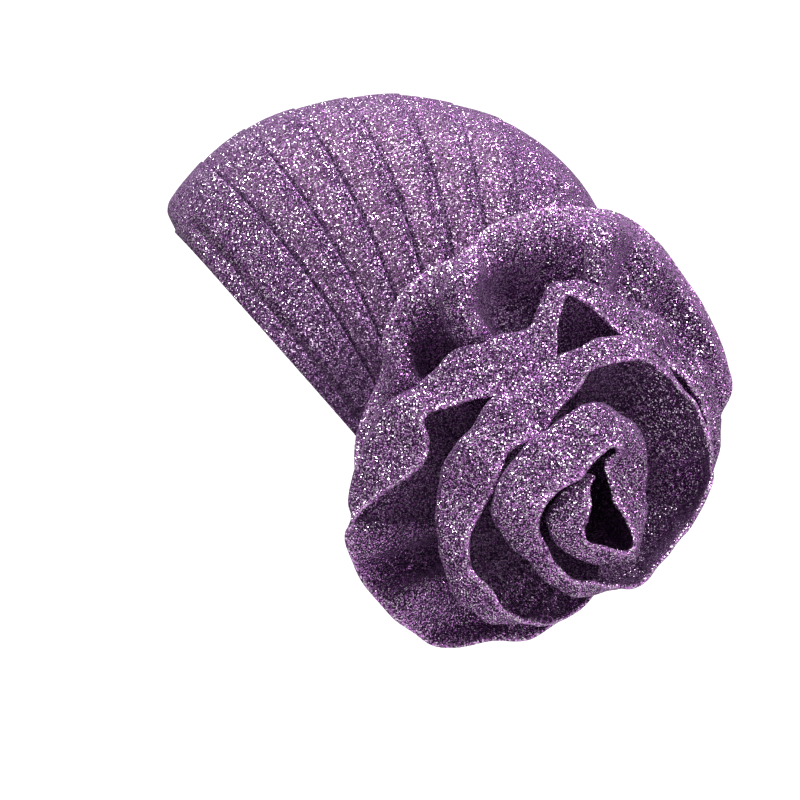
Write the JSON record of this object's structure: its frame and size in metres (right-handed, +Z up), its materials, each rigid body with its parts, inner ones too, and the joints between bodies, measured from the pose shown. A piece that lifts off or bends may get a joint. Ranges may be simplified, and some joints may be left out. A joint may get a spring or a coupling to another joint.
{
  "type": "pleated turban with side rosette",
  "caption": "Soft pleated head wrap with a wound cloth rosette sewn on the wearer's left and back.",
  "frame": {"origin": "inside the crown's top, where the top of the wearer's head bears", "axes": "-Y the wearer's front, +X the wearer's left (the rosette's side), +Z up; -Z down into the head"},
  "size_m": [0.2129, 0.2687, 0.2616],
  "materials": {
    "crown": "purple knit with metallic thread",
    "flower_base": "purple knit",
    "outer_ruffle": "purple knit with metallic thread",
    "second_ruffle": "purple knit with metallic thread",
    "third_ruffle": "purple knit with metallic thread",
    "inner_ruffle": "purple knit with metallic thread",
    "heart": "purple knit with metallic thread"
  },
  "bodies": {
    "root": {"crown": "crown", "flower_base": "flower_base", "outer_ruffle": "outer_ruffle", "second_ruffle": "second_ruffle", "third_ruffle": "third_ruffle", "inner_ruffle": "inner_ruffle", "heart": "heart"}
  },
  "joints": []
}
